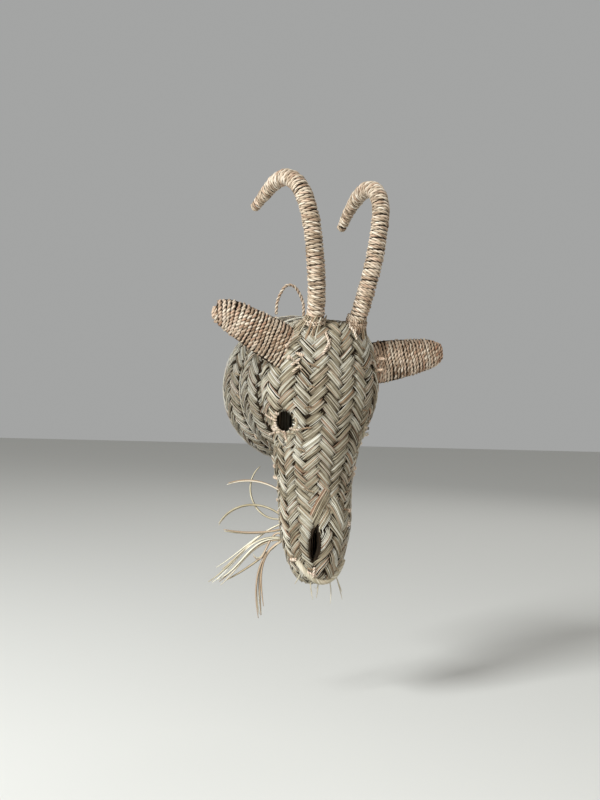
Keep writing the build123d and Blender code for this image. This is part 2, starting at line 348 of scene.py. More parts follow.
def fitted(run, points, degree, places):
    """Places along the smooth curve that fits points best."""
    fit = np.polynomial.polynomial.polyfit(run, points, degree)
    return np.polynomial.polynomial.polyval(places, fit).T


def middle_line(points, count):
    """The centre line of a gently bent rod, from the points on its surface."""
    centre = points.mean(0)
    axis = np.linalg.svd(points - centre, full_matrices=False)[2][0]
    along = (points - centre) @ axis
    return fitted(along, points, 2, np.linspace(along.min(), along.max(), count))


# ---- the head's skin
BANDS = ["nose_band", "jaw_band", "crown_band", "cheek_band_left", "cheek_band_right"]
LEVEL = 0.002  # the skin is read at heights this far apart
AXIS_Y = -0.085  # rays are cast at a line about here, inside the head
OUTSIDE = 0.2  # and they start this far out, clear of everything


class Skin:
    """The head's outer skin, read as an ellipse at each height."""

    def __init__(self):
        low, high = BOX["nose_band"]
        tree = tree_of(*BANDS)
        self.low, self.back = low.z, high.y
        self.heights = np.arange(low.z + 0.001, high.z - 0.0005, LEVEL)
        self.shape = np.array([self.ellipse(tree, z) for z in self.heights])

    @staticmethod
    def ellipse(tree, z):
        """Half width, half depth and centre of the skin's ellipse at a height."""
        hits = []
        for turn in np.radians(np.linspace(-88, 88, 45)):
            outward = np.array((math.sin(turn), -math.cos(turn), 0))
            hit = first_hit(tree, np.array((0, AXIS_Y, z)) + outward * OUTSIDE, -outward)
            if hit is not None and hit[1] < BOX["neck_collar_front"][0].y:
                hits.append(hit)
        hits = np.array(hits)
        x, y = hits[:, 0], hits[:, 1] - AXIS_Y
        keep = np.ones(len(x), bool)
        for _ in range(4):
            terms = np.stack([x * x, y * y, y], 1)
            a, b, c = np.linalg.lstsq(terms[keep], np.ones(keep.sum()), rcond=None)[0]
            error = np.abs(terms @ (a, b, c) - 1)
            keep = error < max(0.02, np.quantile(error, 0.6))
        size = 1 + c * c / (4 * b)
        return math.sqrt(size / a), math.sqrt(size / b), AXIS_Y - c / (2 * b)

    def at(self, z, turn):
        """Points of the skin at heights z, turned about the head from straight ahead."""
        half_width, half_depth, centre = self.measure(z)
        x, y = half_width * np.sin(turn), centre - half_depth * np.cos(turn)
        return np.stack([x, y, np.broadcast_to(z, np.shape(turn))], -1)

    def measure(self, z):
        """Half width, half depth and centre at heights z."""
        return [np.interp(z, self.heights, self.shape[:, i]) for i in range(3)]


skin = Skin()


def in_front(tree, x, z):
    """Whether a tree has a surface on the head's front half at x and z."""
    hit = first_hit(tree, (x, -OUTSIDE, z), (0, 1, 0))
    return hit is not None and hit[1] < AXIS_Y - 0.004


def seam(z_values):
    """How far from the middle the nose band ends, and the cheek band starts, at each height."""
    trees = tree_of("nose_band"), tree_of("cheek_band_right")
    xs = np.arange(0.0, 0.06, 0.0005)
    ends = []
    for z in z_values:
        nose, cheek = ([x for x in xs if in_front(tree, x, z)] for tree in trees)
        nose_end = max(nose, default=0.0)
        ends.append((nose_end, min(cheek, default=nose_end)))
    return np.array(ends).T


NOSE_END, CHEEK_START = seam(skin.heights)
SEAM_LAP = 0.0012  # each plait runs this far over the seam between them


def jaw_front(z_values):
    """The y where the jaw band starts, at each height."""
    tree = tree_of("jaw_band")
    ys = np.arange(-0.11, -0.04, 0.001)
    fronts = []
    for z in z_values:
        met = [y for y in ys if first_hit(tree, (OUTSIDE, y, z), (-1, 0, 0)) is not None]
        fronts.append(min(met, default=np.nan))
    fronts = np.array(fronts)
    known = ~np.isnan(fronts)
    return np.interp(z_values, z_values[known], fronts[known])


JAW_FRONT = jaw_front(skin.heights)
NECK_TUCK = 0.006  # how far the cheeks run on inside the front collar
NECK_LAP = 0.004  # how far the jaw's plait runs up past the front collar's lowest edge
NOSTRIL = (-0.014, -0.164)  # x and z of the left nostril's middle
NOSTRIL_HALF_WIDTH, NOSTRIL_HALF_LENGTH = 0.0048, 0.020
MUZZLE_LENGTH = 0.082  # the part of the nose band, from its lower end, with two columns only


def nose_patch():
    """The nose band: u across from left to right, v down from the back of the crown.

    On the right it hangs over the gap between the bands, the right nostril.
    """
    heights = skin.heights[::-1]
    front = skin.at(heights, np.zeros(len(heights)))[:, 1]
    top_run = skin.back - front[0]
    down = np.concatenate([[0], np.cumsum(np.hypot(np.diff(front), np.diff(heights)))])
    length = top_run + down[-1]
    ends = (NOSE_END + SEAM_LAP)[::-1]
    right_ends = ends + (CHEEK_START - NOSE_END)[::-1]

    def patch(u, v):
        down_v = np.clip(v - top_run, 0, down[-1])
        z = np.interp(down_v, down, heights)
        left = np.interp(down_v, down, ends)
        right = np.interp(down_v, down, right_ends)
        half_width, half_depth, centre = skin.measure(z)
        x = (left + right) * u - left
        bow = np.sqrt(np.maximum(1 - (x / half_width) ** 2, 0.02))
        y = centre - half_depth * bow + np.maximum(top_run - v, 0)
        return np.stack([x, y, z + 0 * y], -1)

    return patch, length


def hanging_patch(top, turned):
    """A patch of the skin that falls from a height. turned gives the turns for u at heights."""

    def patch(u, v):
        z = np.clip(top - v, skin.low, top)
        return skin.at(z, turned(u, z, *skin.measure(z)))

    return patch, top - skin.low


def cheek_patch(side):
    """A cheek band: u back from the nose seam, v down from the crown."""
    jaw_top = BOX["jaw_band"][1].z
    in_neck = BOX["neck_collar_front"][0].y + NECK_TUCK
    seam_x = CHEEK_START - SEAM_LAP

    def turned(u, z, half_width, half_depth, centre):
        start = np.arcsin(np.clip(np.interp(z, skin.heights, seam_x) / half_width, 0, 1))
        rear = np.where(z > jaw_top, in_neck, np.interp(z, skin.heights, JAW_FRONT))
        end = np.arccos(np.clip((centre - rear) / half_depth, -0.99, 0.95))
        return SIDES[side] * (start + (end - start) * u)

    return hanging_patch(BOX[f"cheek_band_{side}"][1].z, turned)


def jaw_patch():
    """The jaw band: u round the back from left to right, v down from the collar."""

    def turned(u, z, _, half_depth, centre):
        front = np.interp(z, skin.heights, JAW_FRONT)
        start = np.arccos(np.clip((centre - front) / half_depth, -1, 0.95))
        return -(start + (math.tau - 2 * start) * u)

    return hanging_patch(BOX["neck_collar_front"][0].z + NECK_LAP, turned)


ABOVE = 0.12  # a height over the crown
CROWN_BEFORE, CROWN_BEHIND = 0.014, 0.003  # the crown's plait runs this far past its band


def crown_patch():
    """The crown behind the horns: u from its front edge to its back, v from left to right."""
    low, high = BOX["crown_band"]
    tree = tree_of(*BANDS)
    xs = np.linspace(low.x, high.x, 47)
    ys = np.linspace(low.y - CROWN_BEFORE, high.y + CROWN_BEHIND, 13)
    hits = [[first_hit(tree, (x, y, ABOVE), (0, 0, -1)) for y in ys] for x in xs]
    tops = np.array([[low.z if hit is None else hit[2] for hit in row] for row in hits])

    def patch(u, v):
        x = np.clip(low.x + v, low.x, high.x)
        y = ys[0] + (ys[-1] - ys[0]) * u
        i = np.clip((x - xs[0]) / (xs[1] - xs[0]), 0, len(xs) - 1.001)
        j = np.clip((y - ys[0]) / (ys[1] - ys[0]), 0, len(ys) - 1.001)
        i0, j0 = i.astype(int), j.astype(int)
        i, j = i - i0, j - j0
        near = tops[i0, j0] * (1 - i) + tops[i0 + 1, j0] * i
        far = tops[i0, j0 + 1] * (1 - i) + tops[i0 + 1, j0 + 1] * i
        return np.stack([x + 0 * y, y + 0 * x, near * (1 - j) + far * j], -1)

    return patch, high.x - low.x


def back_patch():
    """The head's closed back, inside the collars: u from left to right, v down."""
    low, high = BOX["back_band"]
    middle, radius = (low.z + high.z) / 2, (high.z - low.z) / 2
    side_turn = math.radians(88)

    def patch(u, v):
        z = np.clip(high.z - v, low.z, high.z)
        point = skin.at(z, -(side_turn + (math.tau - 2 * side_turn) * u))
        from_axis = np.hypot(point[..., 0], point[..., 2] - middle)
        shrink = np.minimum(radius / np.maximum(from_axis, 1e-6), 1)
        point[..., 0] *= shrink
        point[..., 2] = middle + (point[..., 2] - middle) * shrink
        return point

    return patch, high.z - low.z


def collar_patch(name):
    """A collar: u across its outer face from the front, over the rear rim and back inside."""
    low, high = BOX[name]
    tree = tree_of(name)
    neck = np.array((0, 0, (low.z + high.z) / 2))
    places = np.linspace(low.y + 0.0005, high.y - 0.0005, 12)
    outward = np.array((math.cos(0.7), 0, math.sin(0.7)))
    outer, inner = [], []
    for y in places:
        centre = neck + (0, y, 0)
        outer.append(np.linalg.norm(first_hit(tree, centre + outward * OUTSIDE, -outward) - centre))
        inner.append(np.linalg.norm(first_hit(tree, centre, outward) - centre))
    ring_y = np.concatenate([places, places[::-1], places[:1]])
    ring_r = np.concatenate([outer, inner[::-1], outer[:1]])
    run = np.concatenate([[0], np.cumsum(np.hypot(np.diff(ring_y), np.diff(ring_r)))])
    run /= run[-1]
    length = math.tau * high.z

    def patch(u, v):
        y, radius = np.interp(u % 1, run, ring_y), np.interp(u % 1, run, ring_r)
        turn = v / length * math.tau + math.pi / 2
        return np.stack([radius * np.cos(turn), y, neck[2] + radius * np.sin(turn)], -1)

    return patch, length


# ---- plaiting
BLADES = 7  # the blades of one float, side by side
FLOAT_POINTS = 9
HALF_FLOAT = 0.62  # half a float's length in column widths, its tucked ends included
HEAD_START = 0.005  # the first row lies this far before its band starts
NARROWEST = 0.004  # the least width that a column is given
FULL_WIDTH = 0.015  # the width of the columns that heights are stated for
TUCK = 0.0013  # how far a float's ends go under the skin
CROWNING = 0.0005  # how much prouder a float's middle blades lie than its outer ones
SHORT_SHARE, SHORTENING = 0.12, (0.1, 0.24)  # the floats at a band's edges that stop short
SHORTEST = 0.3  # a float that a hole leaves shorter than this isn't drawn
LOST_SHARE = 0.02  # the blades that have fallen out
WARM_SHARE = 0.14  # the blades with a warm colour


def surface_normals(patch, u, v, u_step=0.012, v_step=0.0015):
    """Points of a patch and its outward normals."""
    across = patch(u + u_step, v) - patch(u - u_step, v)
    down = patch(u, v + v_step) - patch(u, v - v_step)
    return patch(u, v), unit(np.cross(down, across))


def along_floats(place, middle, step, v0, fall):
    """u and v of places along floats, in column widths from their column's middle."""
    return middle + step * place, v0[:, None] - fall[:, None] * place


def plait(
    bundle, patch, length, columns, slope=1.05, pitch=0.74, lift=0.0015, outward=1, start=0.0,
    hole=None, tone=0.55,
):
    """Lay a plait's floats, column by column. Each float is a few flat blades side by side.

    A float's ends are cut along the floats that cross it, and tucked under them.
    """
    rows, v = [], start - HEAD_START
    while v < length:
        edges = patch(np.array([0.5 - 0.5 / columns, 0.5 + 0.5 / columns]), np.array([v, v]))
        width = max(np.linalg.norm(edges[1] - edges[0]), NARROWEST)
        rows.append((v, width))
        v += width * pitch
    rows = np.array(rows)
    count = len(rows)
    offset = np.tile((np.arange(BLADES) - (BLADES - 1) / 2) / BLADES, count)
    slant = offset * pitch / (2 * slope)
    for column in range(columns):
        middle, step = (column + 0.5) / columns, (-1) ** column / columns
        half_step = 0.5 * pitch * (column % 2) + rng.normal(0, 0.03, count)
        width = np.repeat(rows[:, 1], BLADES)
        v0 = np.repeat(rows[:, 0] + half_step * rows[:, 1], BLADES) + width * pitch * offset
        crowned = 1 - (2 * offset) ** 2
        float_tone = np.repeat(rng.normal(0, 0.07, count), BLADES)
        n = len(v0)
        wobble = np.repeat(rng.normal(0, 0.05, count), BLADES) + rng.normal(0, 0.03, n)
        fall = slope * (1 + wobble) * width
        begin = -HALF_FLOAT + slant + rng.normal(0, 0.03, n)
        finish = HALF_FLOAT + slant + rng.normal(0, 0.03, n)
        if column in (0, columns - 1):
            is_short = np.repeat(rng.random(count) < SHORT_SHARE, BLADES)
            short = is_short * rng.uniform(*SHORTENING, n)
            begin, finish = begin + short, finish - short
        if hole is not None:
            samples = np.linspace(0, 1, 41)
            place = begin[:, None] + (finish - begin)[:, None] * samples
            inside = hole(patch(*along_floats(place, middle, step, v0, fall)))
            clear_of(inside, place, begin, finish)
        kept = (finish - begin > SHORTEST) & (rng.random(n) > LOST_SHARE)
        v0, width, crowned, fall, float_tone, begin, finish = (
            values[kept] for values in (v0, width, crowned, fall, float_tone, begin, finish)
        )
        n = len(v0)
        along = np.linspace(0, 1, FLOAT_POINTS)
        place = begin[:, None] + (finish - begin)[:, None] * along
        on_skin, normal = surface_normals(patch, *along_floats(place, middle, step, v0, fall))
        normal = normal * outward
        from_end = np.clip(4 * np.minimum(along, 1 - along), 0, 1)
        arch = from_end**2 * (3 - 2 * from_end)
        size = (width / FULL_WIDTH)[:, None]
        height = (lift * size + TUCK) * arch - TUCK
        height += (crowned[:, None] - 0.6) * CROWNING * size * arch
        height += rng.normal(0, 0.00015, (n, 1))
        blade_width = width * pitch / math.hypot(1, slope) / BLADES
        half = blade_width / 2 * rng.uniform(0.82, 1.18, n)
        # painted shade: blades darken towards their tucked ends, and a float's outer blades are
        # darker, for the shade where floats dive under and in the gaps between them
        painted_light = np.clip(arch * 1.4, 0.1, 1) * (0.7 + 0.3 * crowned[:, None])
        warm = np.where(rng.random(n) < WARM_SHARE, rng.uniform(0.3, 1, n), 0)
        bundle.lay(
            on_skin + normal * height[..., None],
            normal,
            half[:, None] * (0.75 + 0.25 * arch),
            0.55 * half[:, None],
            tone + float_tone + rng.normal(0, 0.19, n),
            warm,
            painted_light,
        )


def clear_of(inside, place, begin, finish):
    """Shorten the blades with samples inside a hole to their longer part beside it."""
    last = place.shape[1] - 1
    for i in np.nonzero(inside.any(1))[0]:
        blocked = np.nonzero(inside[i])[0]
        if blocked[0] >= last - blocked[-1]:
            finish[i] = place[i, max(blocked[0] - 1, 0)]
        else:
            begin[i] = place[i, min(blocked[-1] + 1, last)]


def eye_frame(side):
    """An eye rim's centre, its across, up and outward directions, its half sizes and its top."""
    points = points_of(f"eye_rim_{side}")
    centre = (points.max(0) + points.min(0)) / 2
    axes = np.linalg.svd(points - points.mean(0), full_matrices=False)[2]
    level = [axis for axis in axes if abs(axis[2]) < 0.3]
    outward = min(level, key=lambda axis: np.ptp((points - centre) @ axis))
    outward = outward if outward[1] < 0 else -outward
    outward = unit(np.array((outward[0], outward[1], 0.0)))
    up = np.array((0.0, 0.0, 1.0))
    across = np.cross(up, outward)
    flat = points - centre
    sizes = [np.ptp(flat @ across) / 2, np.ptp(flat @ up) / 2]
    top = (flat @ outward).max()
    return centre, across, up, outward, sizes, top


def eye_hole(side):
    """A test of whether points are within an eye's hole."""
    centre, across, up, outward, sizes, _ = eye_frame(side)

    def hole(points):
        flat = points - centre
        near = np.abs(flat @ outward) < 0.02
        ring = np.hypot(flat @ across / sizes[0], flat @ up / sizes[1])
        return near & (ring < 0.9)

    return hole


def left_nostril(points):
    """Whether points are within the open left nostril."""
    x, _, z = np.moveaxis(points, -1, 0)
    open_width = NOSTRIL_HALF_WIDTH * (1 - ((z - NOSTRIL[1]) / NOSTRIL_HALF_LENGTH) ** 2)
    return np.abs(x - NOSTRIL[0]) < open_width


def dress_head():
    """The plaits of the head's bands."""
    patch, length = nose_patch()
    bundle, narrow = Grass(), length - MUZZLE_LENGTH
    plait(bundle, patch, narrow, 4)
    plait(bundle, patch, length, 2, slope=1.5, pitch=0.95, start=narrow, hole=left_nostril)
    bundle.make("nose_plait", PLAIT, "plait")
    for side in SIDES:
        patch, length = cheek_patch(side)
        bundle = Grass()
        at_eye = eye_hole(side)

        def holes(points, at_eye=at_eye):
            return at_eye(points) | left_nostril(points)

        plait(bundle, patch, length, 4, outward=SIDES[side], hole=holes)
        bundle.make(f"cheek_plait_{side}", PLAIT, "plait")
    for name, (patch, length), columns, outward in (
        ("jaw_plait", jaw_patch(), 4, -1),
        ("crown_plait", crown_patch(), 4, 1),
        ("back_plait", back_patch(), 6, -1),
    ):
        bundle = Grass()
        plait(bundle, patch, length, columns, slope=0.95, outward=outward)
        bundle.make(name, PLAIT, "plait")


def dress_collars():
    """The steeper plaits round the neck."""
    for name in ("neck_collar_rear", "neck_collar_front"):
        patch, length = collar_patch(name)
        bundle = Grass()
        # painted light: tone 0.62 makes the collars paler than the head's plait, a painted
        # highlight for the key light on the neck
        plait(
            bundle, patch, length, 6, slope=2.4, pitch=1.4, lift=0.002, outward=-1, tone=0.62
        )
        bundle.make(name.replace("collar", "plait"), PLAIT, "plait")


# ---- wound cords
WALK = 0.002  # a rod's centre line is read in steps of this length
WALK_LIMIT = 0.35  # and no further than this
CORD_STEP = 0.0014  # and a wound cord is drawn in steps of this length


def about(angle, first, second):
    """The direction at an angle between two directions that are square to each other."""
    angle = np.asarray(angle)[..., None]
    return np.cos(angle) * first + np.sin(angle) * second


def walk_tube(tree, start, heading):
    """The centres of a rod-like solid, walked from just inside its tip."""
    here, heading = np.array(start, float), unit(np.array(heading, float))
    centres, size = [], None
    turns = np.linspace(0, math.tau, 16, endpoint=False)
    while len(centres) * WALK < WALK_LIMIT:
        first = unit(np.cross(heading, (0.31, 0.55, 0.77)))
        second = np.cross(heading, first)
        hits = [first_hit(tree, here, about(turn, first, second)) for turn in turns]
        if any(hit is None for hit in hits):
            break
        spread = np.mean([np.linalg.norm(hit - here) for hit in hits])
        if len(centres) > 12 and spread > 1.35 * size:
            break
        size = spread if size is None else 0.7 * size + 0.3 * spread
        centres.append(np.mean(hits, axis=0))
        if len(centres) > 1:
            heading = unit(0.5 * heading + 0.5 * unit(centres[-1] - centres[-2]))
        here = centres[-1] + heading * WALK
    return np.array(centres)


def carried(line, first):
    """A direction carried along a line without twist, and the one square to it."""
    tangents = unit(np.gradient(line, axis=0))
    kept = []
    direction = np.array(first, float)
    for tangent in tangents:
        direction = unit(direction - tangent * (direction @ tangent))
        kept.append(direction)
    kept = np.array(kept)
    return kept, np.cross(tangents, kept), tangents


def smooth(line, passes=6):
    """A line with its small kinks evened out."""
    line = line.copy()
    for _ in range(passes):
        line[1:-1] = (line[:-2] + 2 * line[1:-1] + line[2:]) / 4
    return line


def wander(run, spacing, low, high):
    """Values that wander between low and high along a run."""
    knots = np.arange(0, run[-1] + 2 * spacing, spacing)
    return np.interp(run, knots, rng.uniform(low, high, len(knots)))


def lengths(line):
    """How far along a line each of its points is."""
    return np.concatenate([[0], np.cumsum(np.linalg.norm(np.diff(line, axis=0), axis=1))])


def rod_surface(core, wrap, start, heading, limit, more):
    """The centre line of a wrapped rod from its tip, and its reach in 33 directions round it."""
    centres = walk_tube(tree_of(core), start, heading)
    onward = unit(centres[-1] - centres[-4])
    ahead = unit(centres[0] - centres[3])
    extra = [centres[-1] + onward * WALK * (i + 1) for i in range(int(more / WALK))]
    centres = smooth(np.array([centres[0] + ahead * 0.001, *centres, *extra]))
    first, second, tangents = carried(centres, (0, 0, 1))
    tree = tree_of(wrap)
    turns = np.linspace(0, math.tau, 33)
    reaches = np.zeros((len(centres), len(turns)))
    for i, centre in enumerate(centres):
        for j, turn in enumerate(turns):
            reaches[i, j] = last_reach(tree, centre, about(turn, first[i], second[i]), limit)
        if i and (reaches[i].min() < 0.002 or reaches[i].max() > 1.5 * reaches[i - 1].max()):
            reaches[i] = reaches[i - 1]
    return centres, first, second, tangents, reaches


BARE_TIP = 0.06  # a proud winding thins to nothing over this much of the tip


def wind(bundle, rod, pitch, strands, lay, spread, radius, tone, ragged, proud):
    """Wind a cord of twisted strands round a rod, from its tip to its root.

    pitch is from turn to turn, lay the length of the strands' own twist, and spread how far along
    and out from the rod they lie from the cord's middle.
    """
    centres, first, second, tangents, reaches = rod
    travelled = lengths(centres)
    count = int(travelled[-1] / pitch * math.tau * reaches.mean() / CORD_STEP)
    path = np.linspace(0, travelled[-1], count)
    angle = path / pitch * math.tau
    path = np.clip(path + wander(angle, 2.0, -ragged * pitch, ragged * pitch), 0, travelled[-1])
    index = np.interp(path, travelled, np.arange(len(centres)))
    low = np.minimum(index.astype(int), len(centres) - 2)
    share = (index - low)[:, None]

    def between(table):
        return table[low] * (1 - share) + table[low + 1] * share

    column = angle % math.tau / math.tau * (reaches.shape[1] - 1)
    left = np.minimum(column.astype(int), reaches.shape[1] - 2)
    rows, each = between(reaches), np.arange(count)
    reach = rows[each, left] * (1 - column + left) + rows[each, left + 1] * (column - left)
    outward = about(angle, unit(between(first)), unit(between(second)))
    reach = reach + proud * np.clip(path / BARE_TIP, 0, 1)
    centre, axis = between(centres), unit(between(tangents))
    run = lengths(centre + outward * reach[:, None])
    size = wander(run, 0.011, 0.75, 1.2)
    for strand in range(strands):
        phase = math.tau * (strand / strands + run / lay) + wander(run, 0.02, -0.5, 0.5)
        lift = reach - radius - spread[1] + np.sin(phase) * spread[1] * size
        along = np.cos(phase) * spread[0] * size
        line = centre + outward * lift[:, None] + axis * along[:, None]
        # painted shade: each strand's painted light falls where it dips in between the turns
        bundle.lay(
            line[None],
            outward[None],
            (radius * size)[None],
            (radius * 0.8 * size)[None],
            wander(run, 0.018, tone - 0.28, tone + 0.28)[None],
            wander(run, 0.04, -0.7, 0.7).clip(0, 1)[None],
            np.clip(0.7 + 0.5 * np.sin(phase), 0.25, 1)[None],
            section=ROUND,
        )


def cap_tip(bundle, rod, turns, radius):
    """A spiral of cord that closes a wound rod's tip."""
    centres, first, second, tangents, reaches = rod
    angle = np.linspace(0, math.tau * turns, int(24 * turns))
    share = angle / angle[-1]
    column = angle % math.tau / math.tau * (reaches.shape[1] - 1)
    reach = np.interp(column, np.arange(reaches.shape[1]), reaches[0]) - radius
    outward = about(angle, first[0], second[0])
    back = -0.0012 + 0.0012 * share**3
    line = centres[0] + outward * (reach * share)[:, None] + back[:, None] * tangents[0]
    twisted(bundle, line, radius, 0.008, tone=0.5, warm=0.15)


# Each kind of rod: its core, its material, how far off its wrap may lie, how far it runs on past
# its core, the turns and radius of the cord that closes its tip, and its winding
RODS = {
    "horn": (
        "horn_bundle", WOUND, 0.013, 0.004, (2.2, 0.0014),
        {"pitch": 0.0041, "strands": 3, "lay": 0.021, "spread": (0.0012, 0.0008),
         "radius": 0.0012, "tone": 0.46, "ragged": 0.18, "proud": 0.001},
    ),
    "ear": (
        "ear_core", EAR_CORD, 0.03, 0.016, (3.2, 0.0018),
        {"pitch": 0.0042, "strands": 2, "lay": 0.0092, "spread": (0.0011, 0.0007),
         "radius": 0.0014, "tone": 0.55, "ragged": 0.1, "proud": 0.0},
    ),
}
TIP = 0.0012  # the points this near a rod's end are its tip


def dress_rods():
    """The cord wound round each horn and each ear."""
    for kind, (core, material, limit, more, cap, winding) in RODS.items():
        for side, sign in SIDES.items():
            points = points_of(f"{core}_{side}")
            along = points @ np.array((0, 1, 0) if kind == "horn" else (sign, 0, 0.2), float)
            from_tip = along.max() - along
            end = points[from_tip < TIP].mean(0)
            further = np.array(sum(BOX[f"{core}_{side}"], Vector())) / 2
            if kind == "horn":
                further = points[(from_tip > 0.012) & (from_tip < 0.03)].mean(0)
            inward = unit(further - end)
            wrap, bundle = f"{kind}_wrap_{side}", Grass()
            rod = rod_surface(f"{core}_{side}", wrap, end + inward * WALK, inward, limit, more)
            wind(bundle, rod, **winding)
            cap_tip(bundle, rod, *cap)
            bundle.make(f"{kind}_cord_{side}", material, f"{kind}_wrap", replaces=[wrap])
            if kind == "horn":
                dress_horn_root(side, rod)


ROOT_BLADES = 34  # the blades of a horn's root
ROOT_LAY = 0.006  # and the length of the twist of the cord that ties them
# Each horn's lashings: steps back from the root, turns, tilt and tone
HORN_TIES = {"left": [(2, 1.3, 0.5, 0.6)], "right": [(1, 4.3, 0.1, 0.25), (3, 1.4, -0.5, 0.6)]}


def dress_horn_root(side, rod):
    """Blades that run from a horn's root on to the crown, and the cord that ties them."""
    centres, first, second, tangents, reaches = rod
    root = len(centres) - 3
    radius = reaches[root].mean()
    skin_tree = tree_of(*BANDS)
    down = tangents[root]
    blades, cords = Grass(), Grass()
    lines = []
    turns = np.linspace(0, math.tau, ROOT_BLADES, endpoint=False)
    for turn in turns + rng.uniform(-0.1, 0.1, ROOT_BLADES):
        upper, lower = turn + rng.uniform(-0.7, 0.7), turn + rng.uniform(-0.25, 0.25)
        out_upper = about(upper, first[root], second[root])
        out_lower = about(lower, first[root], second[root])
        start = centres[root] - down * rng.uniform(0.006, 0.014) + out_upper * (radius + 0.0006)
        knee = centres[root] + down * 0.002 + out_lower * (radius + 0.0024)
        above = centres[root] + out_lower * rng.uniform(0.013, 0.018) - down * 0.03
        foot = first_hit(skin_tree, above, down)
        if foot is None:
            foot = centres[root] + down * 0.012 + out_lower * (radius + 0.004)
        foot = foot - down * 0.0008
        t = np.linspace(0, 1, 10)[:, None]
        lines.append((1 - t) ** 2 * start + 2 * t * (1 - t) * knee + t**2 * foot)
    lines = np.array(lines)
    n = len(lines)
    half = rng.uniform(0.0008, 0.0015, n)[:, None] * np.linspace(0.8, 1, 10)
    ups = unit(lines - (centres[root] + down * 0.02))
    blades.lay(lines, ups, half, half * 0.5, rng.normal(0.4, 0.18, n), rng.random(n) * 0.4)
    blades.make(f"horn_root_blades_{side}", PLAIT, "plait", replaces=[f"horn_root_tie_{side}"])
    for station_back, turns, tilt, tone in HORN_TIES[side]:
        angle = np.linspace(0, math.tau * turns, int(26 * turns))
        station = root - station_back
        outward = about(angle, first[station], second[station])
        along = (angle / angle[-1] - 0.5) * turns * 0.0026 + tilt * 0.006 * np.sin(angle)
        line = centres[station] + outward * (radius + 0.0016) + along[:, None] * tangents[station]
        twisted(cords, line, 0.0013, ROOT_LAY, tone=tone, warm=0.35)
    cords.make(f"horn_root_cord_{side}", WOUND, "sewing_cord")


# ---- twisted cords
def twisted(bundle, line, radius, lay, strands=2, tone=0.62, warm=0.15):
    """A cord of strands twisted about a line."""
    line = np.asarray(line, float)
    run = lengths(line)
    count = max(int(run[-1] / min(lay / 9, 0.0012)), 5)
    places = np.linspace(0, run[-1], count)
    line = np.stack([np.interp(places, run, line[:, i]) for i in range(3)], -1)
    line = smooth(line, 3)
    first, second, _ = carried(line, (0.2, -0.9, 0.35))
    start = rng.uniform(0, 6)
    for strand in range(strands):
        phase = start + math.tau * (strand / strands + places / lay)
        outward = about(phase, first, second)
        centre = line + outward * radius * 0.5
        bundle.lay(
            centre[None],
            outward[None],
            radius * 0.58,
            radius * 0.5,
            rng.normal(tone, 0.08),
            max(rng.normal(warm, 0.15), 0),
            section=ROUND,
        )


LOOP_DIAMETER = 0.003
LOOP_Y = -0.008
# The loop's centre line from its left foot to its right foot
LOOP_XZ = [
    (-0.0215, 0.082), (-0.022, 0.094), (-0.0175, 0.106), (-0.011, 0.1165),
    (-0.0005, 0.1165), (0.008, 0.106), (0.013, 0.094), (0.0125, 0.082),
]
LOOP_ROUTE = [(x, LOOP_Y, z) for x, z in LOOP_XZ]
FOOT_BELOW = 0.0018  # the feet stop this far short of their tops, clear of the cord


def smooth_route(route):
    """Points of the smooth curve that a cord's route draws."""
    curve = bpy.data.curves.new("route", "CURVE")
    curve.dimensions = "3D"
    spline = curve.splines.new("NURBS")
    spline.points.add(len(route) - 1)
    for point, place in zip(spline.points, route):
        point.co = (*place, 1)
    spline.order_u = 3
    spline.use_endpoint_u = True
    spline.resolution_u = 24
    holder = new_object("route", curve)
    mesh = bpy.data.meshes.new_from_object(holder)
    points = np.array([vertex.co for vertex in mesh.vertices])
    bpy.data.objects.remove(holder)
    bpy.data.meshes.remove(mesh)
    bpy.data.curves.remove(curve)
    return points


def dress_loop():
    """The hanging loop, and the knots that it is sewn down with."""
    path = smooth_route(LOOP_ROUTE)
    bundle = Grass()
    twisted(bundle, path, 0.62 * LOOP_DIAMETER, 0.0095, tone=0.62, warm=0.0)
    cord = bundle.make("loop_cord", EAR_CORD, "sewing_cord", "loop", ["hanging_loop"])
    for side in SIDES:
        name = f"loop_anchor_{side}"
        low, high = BOX[name]
        middle, foot = (low + high) / 2, Grass()
        ends = [(middle.x, middle.y, low.z), (middle.x, middle.y, high.z - FOOT_BELOW)]
        twisted(foot, ends, (high.x - low.x) / 2, 0.009, tone=0.5)
        foot.make(f"loop_foot_{side}", EAR_CORD, "sewing_cord", replaces=[name])


# ---- sewing
FINE, THICK = 0.0011, 0.0015  # the radius of a stitch's cord
STITCHES = {  # CAD node: material, tone and radius
    "nose_seam_stitches_left": (PLAIT, 0.35, FINE),
    "nose_seam_stitches_right": (PLAIT, 0.35, FINE),
    "jaw_seam_stitches_left": (SEWING, 0.6, THICK),
    "jaw_seam_stitches_right": (SEWING, 0.6, THICK),
    "collar_seam_stitches": (PLAIT, 0.5, FINE),
    "ear_stitches_left": (SEWING, 0.7, THICK),
    "ear_stitches_right": (SEWING, 0.5, THICK),
}
STITCH_POINTS = 7
STITCH_LAY = 0.006  # the length of a sewing cord's twist


